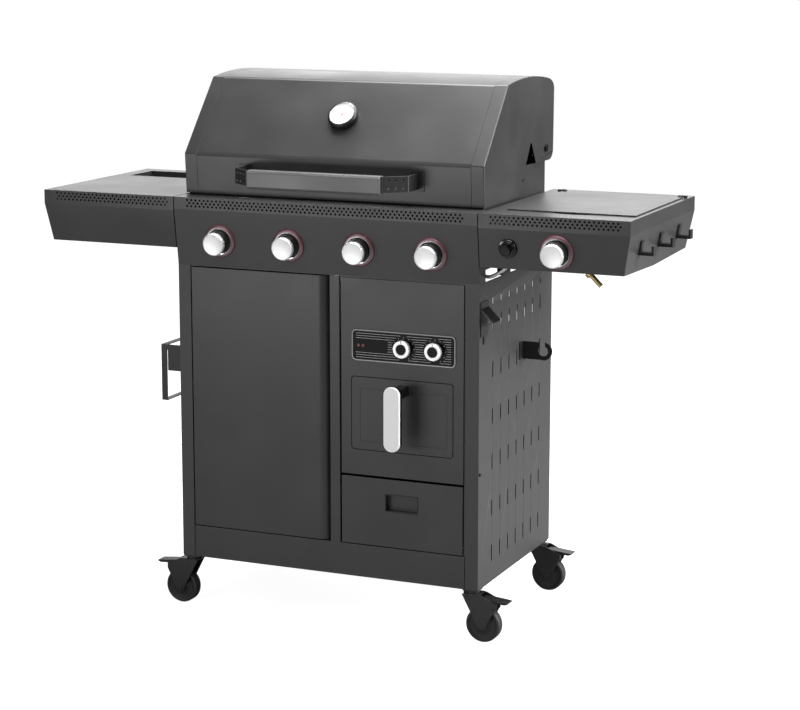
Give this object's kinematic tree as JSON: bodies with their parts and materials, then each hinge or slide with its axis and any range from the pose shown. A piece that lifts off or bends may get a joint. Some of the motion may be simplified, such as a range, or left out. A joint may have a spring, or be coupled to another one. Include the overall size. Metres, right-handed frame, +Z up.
{
  "type": "gas barbecue grill",
  "caption": "Gas barbecue cart with a hinged lid, side shelves with a covered side burner, a bottle bay behind a door, and a hot-air fryer above a drawer.",
  "frame": {"origin": "on the ground, at the middle of the bounding box", "axes": "+X to the right along the shelves, +Y from the front to the back, +Z up"},
  "size_m": [1.374, 0.521, 1.168],
  "materials": {
    "panel_paint": "black powder coat, fine orange peel",
    "front_paint": "black powder coat, satin",
    "shelf_paint": "black powder coat, satin",
    "lid_enamel": "black heat-proof paint, satin",
    "handle_paint": "grey satin paint",
    "hook_paint": "black powder coat",
    "firebox_enamel": "black heat-proof enamel",
    "castor_paint": "black paint",
    "needle_paint": "red paint",
    "basket_coating": "non-stick coating, glossy",
    "trim_ring": "tinted bright metal ring",
    "chrome": "bright chrome",
    "chromed_wire": "chromed wire",
    "stainless": "stainless steel",
    "zinc_steel": "zinc-coated steel",
    "cast_iron": "matt enamelled cast iron",
    "brass": "turned brass",
    "black_plastic": "moulded black plastic",
    "gloss_plastic": "glossy black plastic with a bright cover",
    "wheel_rubber": "black rubber"
  },
  "bodies": {
    "cart": {"left_side_panel": "panel_paint", "right_side_panel": "panel_paint", "back_panel": "panel_paint", "floor_panel": "panel_paint", "front_frame": "front_paint", "control_panel": "front_paint", "control_bezels": "trim_ring", "left_shelf": "shelf_paint", "right_shelf": "shelf_paint", "right_fascia": "front_paint", "utensil_holders": "hook_paint", "side_rack": "hook_paint", "firebox": "firebox_enamel", "cast_grates": "cast_iron", "warming_rack": "chromed_wire", "heat_plates": "stainless", "burners": "stainless", "manifold": "zinc_steel", "side_gas_tube": "stainless", "gas_inlet": "brass", "side_burner": "firebox_enamel", "fryer_housing": "zinc_steel", "fryer_front": "front_paint", "fryer_heater": "stainless", "castor_plates": "castor_paint", "fasteners": "chrome"},
    "lid": {"lid_skin": "lid_enamel", "lid_end_caps": "lid_enamel", "lid_handle": "handle_paint", "handle_brackets": "castor_paint", "gauge_case": "black_plastic"},
    "gauge_needle": {"gauge_needle": "needle_paint"},
    "door": {"door": "front_paint"},
    "basket": {"fryer_basket": "basket_coating", "crisper_plate": "basket_coating", "basket_handle": "gloss_plastic"},
    "storage_drawer": {"storage_drawer": "front_paint"},
    "grease_tray": {"grease_tray": "zinc_steel"},
    "gas_knob_1": {"gas_knob_1": "black_plastic"},
    "gas_knob_2": {"gas_knob_2": "black_plastic"},
    "gas_knob_3": {"gas_knob_3": "black_plastic"},
    "gas_knob_4": {"gas_knob_4": "black_plastic"},
    "side_knob": {"side_knob": "black_plastic"},
    "igniter_button": {"igniter_button": "black_plastic"},
    "fryer_knob_left": {"fryer_knob_left": "chrome"},
    "fryer_knob_right": {"fryer_knob_right": "chrome"},
    "burner_lid": {"burner_lid": "shelf_paint"},
    "castor_fork_fl": {"castor_fork_fl": "castor_paint"},
    "wheel_fl": {"wheel_fl": "wheel_rubber"},
    "brake_pedal_fl": {"brake_pedal_fl": "black_plastic"},
    "castor_fork_fr": {"castor_fork_fr": "castor_paint"},
    "wheel_fr": {"wheel_fr": "wheel_rubber"},
    "brake_pedal_fr": {"brake_pedal_fr": "black_plastic"},
    "castor_fork_rl": {"castor_fork_rl": "castor_paint"},
    "wheel_rl": {"wheel_rl": "wheel_rubber"},
    "brake_pedal_rl": {"brake_pedal_rl": "black_plastic"},
    "castor_fork_rr": {"castor_fork_rr": "castor_paint"},
    "wheel_rr": {"wheel_rr": "wheel_rubber"},
    "brake_pedal_rr": {"brake_pedal_rr": "black_plastic"},
    "fryer_fan": {"fryer_fan": "stainless"}
  },
  "joints": [
    {"name": "lid_hinge", "type": "hinge", "parent": "cart", "child": "lid", "pos_m": [-0.012, 0.2065, 1.006], "axis": [-1, 0, 0], "range_deg": [0, 90]},
    {"name": "needle_turn", "type": "hinge", "parent": "lid", "child": "gauge_needle", "pos_m": [-0.012, -0.10106, 1.09207], "axis": [0, 0.755, -0.6558], "range_deg": [0, 240]},
    {"name": "door_hinge", "type": "hinge", "parent": "cart", "child": "door", "pos_m": [-0.321, -0.1835, 0.474], "axis": [0, 0, -1], "range_deg": [0, 100]},
    {"name": "basket_slide", "type": "slide", "parent": "cart", "child": "basket", "axis": [0, -1, 0], "range_m": [0, 0.24]},
    {"name": "drawer_slide", "type": "slide", "parent": "cart", "child": "storage_drawer", "axis": [0, -1, 0], "range_m": [0, 0.33]},
    {"name": "grease_tray_slide", "type": "slide", "parent": "cart", "child": "grease_tray", "axis": [0, 1, 0], "range_m": [0, 0.34]},
    {"name": "gas_knob_1_turn", "type": "hinge", "parent": "cart", "child": "gas_knob_1", "pos_m": [-0.2565, -0.19992, 0.82], "axis": [0, -0.9916, -0.129], "range_deg": [0, 180]},
    {"name": "gas_knob_2_turn", "type": "hinge", "parent": "cart", "child": "gas_knob_2", "pos_m": [-0.0935, -0.19992, 0.82], "axis": [0, -0.9916, -0.129], "range_deg": [0, 180]},
    {"name": "gas_knob_3_turn", "type": "hinge", "parent": "cart", "child": "gas_knob_3", "pos_m": [0.0695, -0.19992, 0.82], "axis": [0, -0.9916, -0.129], "range_deg": [0, 180]},
    {"name": "gas_knob_4_turn", "type": "hinge", "parent": "cart", "child": "gas_knob_4", "pos_m": [0.2325, -0.19992, 0.82], "axis": [0, -0.9916, -0.129], "range_deg": [0, 180]},
    {"name": "side_knob_turn", "type": "hinge", "parent": "cart", "child": "side_knob", "pos_m": [0.507, -0.20304, 0.84], "axis": [0, -0.9916, -0.129], "range_deg": [0, 180]},
    {"name": "igniter_press", "type": "slide", "parent": "cart", "child": "igniter_button", "axis": [0, 0.9916, 0.129], "range_m": [0, 0.005], "stiffness_N_per_m": 400},
    {"name": "fryer_knob_left_turn", "type": "hinge", "parent": "cart", "child": "fryer_knob_left", "pos_m": [0.16975, -0.2045, 0.617], "axis": [0, 1, 0], "range_deg": [0, 270]},
    {"name": "fryer_knob_right_turn", "type": "hinge", "parent": "cart", "child": "fryer_knob_right", "pos_m": [0.24075, -0.2045, 0.617], "axis": [0, 1, 0], "range_deg": [0, 270]},
    {"name": "burner_lid_hinge", "type": "hinge", "parent": "cart", "child": "burner_lid", "pos_m": [0.515, 0.1955, 0.9158], "axis": [-1, 0, 0], "range_deg": [0, 95]},
    {"name": "castor_swivel_fl", "type": "hinge", "parent": "cart", "child": "castor_fork_fl", "pos_m": [-0.344, -0.1765, 0.102], "axis": [0, 0, 1], "continuous": true},
    {"name": "wheel_roll_fl", "type": "hinge", "parent": "castor_fork_fl", "child": "wheel_fl", "pos_m": [-0.371, -0.1765, 0.038], "axis": [0, 1, 0], "continuous": true},
    {"name": "brake_press_fl", "type": "hinge", "parent": "castor_fork_fl", "child": "brake_pedal_fl", "pos_m": [-0.396, -0.1765, 0.076], "axis": [0, -1, 0], "range_deg": [0, 12]},
    {"name": "castor_swivel_fr", "type": "hinge", "parent": "cart", "child": "castor_fork_fr", "pos_m": [0.32, -0.1765, 0.102], "axis": [0, 0, 1], "continuous": true},
    {"name": "wheel_roll_fr", "type": "hinge", "parent": "castor_fork_fr", "child": "wheel_fr", "pos_m": [0.347, -0.1765, 0.038], "axis": [0, 1, 0], "continuous": true},
    {"name": "brake_press_fr", "type": "hinge", "parent": "castor_fork_fr", "child": "brake_pedal_fr", "pos_m": [0.372, -0.1765, 0.076], "axis": [0, 1, 0], "range_deg": [0, 12]},
    {"name": "castor_swivel_rl", "type": "hinge", "parent": "cart", "child": "castor_fork_rl", "pos_m": [-0.344, 0.2285, 0.102], "axis": [0, 0, 1], "continuous": true},
    {"name": "wheel_roll_rl", "type": "hinge", "parent": "castor_fork_rl", "child": "wheel_rl", "pos_m": [-0.371, 0.2285, 0.038], "axis": [0, 1, 0], "continuous": true},
    {"name": "brake_press_rl", "type": "hinge", "parent": "castor_fork_rl", "child": "brake_pedal_rl", "pos_m": [-0.396, 0.2285, 0.076], "axis": [0, -1, 0], "range_deg": [0, 12]},
    {"name": "castor_swivel_rr", "type": "hinge", "parent": "cart", "child": "castor_fork_rr", "pos_m": [0.32, 0.2285, 0.102], "axis": [0, 0, 1], "continuous": true},
    {"name": "wheel_roll_rr", "type": "hinge", "parent": "castor_fork_rr", "child": "wheel_rr", "pos_m": [0.347, 0.2285, 0.038], "axis": [0, 1, 0], "continuous": true},
    {"name": "brake_press_rr", "type": "hinge", "parent": "castor_fork_rr", "child": "brake_pedal_rr", "pos_m": [0.372, 0.2285, 0.076], "axis": [0, 1, 0], "range_deg": [0, 12]},
    {"name": "fan_spin", "type": "hinge", "parent": "cart", "child": "fryer_fan", "pos_m": [0.16475, -0.0625, 0.562], "axis": [0, 0, 1], "continuous": true}
  ]
}
